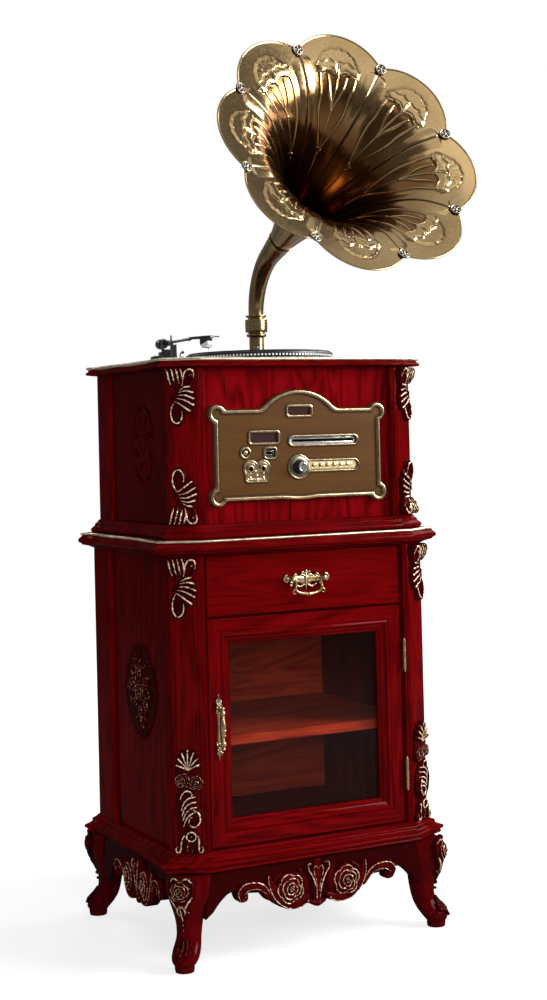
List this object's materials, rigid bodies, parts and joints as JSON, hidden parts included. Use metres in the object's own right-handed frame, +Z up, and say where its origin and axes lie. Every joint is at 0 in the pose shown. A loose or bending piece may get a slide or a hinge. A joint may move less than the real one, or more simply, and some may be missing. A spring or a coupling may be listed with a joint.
{
  "type": "horn gramophone cabinet",
  "caption": "Tall red lacquered gramophone cabinet with a brass petal horn, record deck, radio and disc console, drawer and glazed door on cabriole legs.",
  "frame": {"origin": "on the floor, midway along the whole object's width and depth, horn included", "axes": "+Z up, the front with the door faces -Y, +X to the viewer's right"},
  "size_m": [0.6032, 0.5867, 1.6171],
  "materials": {
    "mahogany": "deep red high gloss lacquer",
    "carved_mahogany": "red lacquer with gilt high edges",
    "inner_wood": "satin red lacquer",
    "antique_brass": "antiqued and brushed",
    "horn_brass": "brushed antique brass",
    "fascia_bronze": "brushed bronze",
    "steel": "satin",
    "chrome": "polished",
    "black_plastic": "semi gloss black",
    "white_plastic": "white",
    "dark_glass": "smoked pane",
    "clear_glass": "clear float glass",
    "rubber": "matt black",
    "platter_metal": "black anodised, bright strobe dots",
    "speaker_black": "matt black"
  },
  "bodies": {
    "cabinet": {"aprons": "mahogany", "arm_base": "black_plastic", "arm_rest": "black_plastic", "base_board": "mahogany", "base_carvings": "carved_mahogany", "cd_player": "steel", "console_back": "inner_wood", "console_front": "mahogany", "console_plinth": "mahogany", "console_posts": "mahogany", "console_side_panels": "mahogany", "console_top": "mahogany", "corner_carvings": "carved_mahogany", "display_windows": "dark_glass", "drawer_divider": "inner_wood", "drawer_runners": "inner_wood", "drive_belt": "rubber", "fascia_plate": "fascia_bronze", "hinge_post_leaves": "chrome", "horn_driver": "speaker_black", "horn_socket": "horn_brass", "input_sockets": "antique_brass", "legs": "carved_mahogany", "lower_back": "inner_wood", "lower_posts": "mahogany", "lower_side_panels": "mahogany", "lower_top": "mahogany", "motor": "steel", "platter_bearing": "steel", "power_inlet": "black_plastic", "receiver_chassis": "steel", "shelf": "inner_wood", "side_medallions": "carved_mahogany", "speakers": "speaker_black"},
    "drawer": {"drawer_front": "mahogany", "drawer_box": "inner_wood", "drawer_pull_plate": "antique_brass"},
    "drawer_bail": {"drawer_bail": "antique_brass"},
    "door": {"door_frame": "mahogany", "door_glass": "clear_glass", "door_handle": "antique_brass", "hinge_door_leaves": "chrome"},
    "power_button": {"power_button": "antique_brass"},
    "tuning_knob": {"tuning_knob": "chrome"},
    "platter": {"platter": "platter_metal", "platter_mat": "rubber"},
    "motor_pulley": {"motor_pulley": "steel"},
    "arm_gimbal": {"arm_gimbal": "black_plastic"},
    "tonearm": {"arm_tube": "black_plastic", "counterweight": "black_plastic", "headshell": "black_plastic"},
    "horn": {"horn_elbow": "horn_brass", "horn_petals": "horn_brass", "horn_rivets": "antique_brass"},
    "preset_button_1": {"preset_button_1": "antique_brass"},
    "preset_button_2": {"preset_button_2": "antique_brass"},
    "preset_button_3": {"preset_button_3": "antique_brass"},
    "preset_button_4": {"preset_button_4": "antique_brass"},
    "preset_button_5": {"preset_button_5": "antique_brass"},
    "preset_button_6": {"preset_button_6": "antique_brass"}
  },
  "joints": [
    {"name": "drawer_slide", "type": "slide", "parent": "cabinet", "child": "drawer", "axis": [0, -1, 0], "range_m": [0, 0.26]},
    {"name": "bail_swing", "type": "hinge", "parent": "drawer", "child": "drawer_bail", "pos_m": [-0.0292, -0.1371, 0.641], "axis": [-1, 0, 0], "range_deg": [0, 85]},
    {"name": "door_hinge", "type": "hinge", "parent": "cabinet", "child": "door", "pos_m": [0.1643, -0.1323, 0.388], "axis": [0, 0, 1], "range_deg": [0, 105]},
    {"name": "power_press", "type": "slide", "parent": "cabinet", "child": "power_button", "axis": [0, 1, 0], "range_m": [0, 0.0015], "stiffness_N_per_m": 400},
    {"name": "tuning_turn", "type": "hinge", "parent": "cabinet", "child": "tuning_knob", "pos_m": [-0.0305, -0.1231, 0.8356], "axis": [0, 1, 0], "continuous": true},
    {"name": "platter_spin", "type": "hinge", "parent": "cabinet", "child": "platter", "pos_m": [-0.0202, 0.0509, 1.04], "axis": [0, 0, 1], "continuous": true},
    {"name": "pulley_spin", "type": "hinge", "parent": "cabinet", "child": "motor_pulley", "pos_m": [-0.08022, -0.01346, 1.033], "axis": [0, 0, 1], "continuous": true},
    {"name": "arm_swing", "type": "hinge", "parent": "cabinet", "child": "arm_gimbal", "pos_m": [-0.1512, 0.1749, 1.05], "axis": [0, 0, 1], "range_deg": [0, 36]},
    {"name": "arm_lift", "type": "hinge", "parent": "arm_gimbal", "child": "tonearm", "pos_m": [-0.1512, 0.1749, 1.07], "axis": [-0.9962, 0.0872, 0], "range_deg": [-0.8, 15]},
    {"name": "horn_swivel", "type": "hinge", "parent": "cabinet", "child": "horn", "pos_m": [0.0508, 0.2019, 1.09], "axis": [0, 0, 1], "continuous": true},
    {"name": "preset_1_press", "type": "slide", "parent": "cabinet", "child": "preset_button_1", "axis": [0, 1, 0], "range_m": [0, 0.0012], "stiffness_N_per_m": 300},
    {"name": "preset_2_press", "type": "slide", "parent": "cabinet", "child": "preset_button_2", "axis": [0, 1, 0], "range_m": [0, 0.0012], "stiffness_N_per_m": 300},
    {"name": "preset_3_press", "type": "slide", "parent": "cabinet", "child": "preset_button_3", "axis": [0, 1, 0], "range_m": [0, 0.0012], "stiffness_N_per_m": 300},
    {"name": "preset_4_press", "type": "slide", "parent": "cabinet", "child": "preset_button_4", "axis": [0, 1, 0], "range_m": [0, 0.0012], "stiffness_N_per_m": 300},
    {"name": "preset_5_press", "type": "slide", "parent": "cabinet", "child": "preset_button_5", "axis": [0, 1, 0], "range_m": [0, 0.0012], "stiffness_N_per_m": 300},
    {"name": "preset_6_press", "type": "slide", "parent": "cabinet", "child": "preset_button_6", "axis": [0, 1, 0], "range_m": [0, 0.0012], "stiffness_N_per_m": 300}
  ],
  "couplings": [
    {"joint": "pulley_spin", "follows": "platter_spin", "ratio": 6.25}
  ]
}
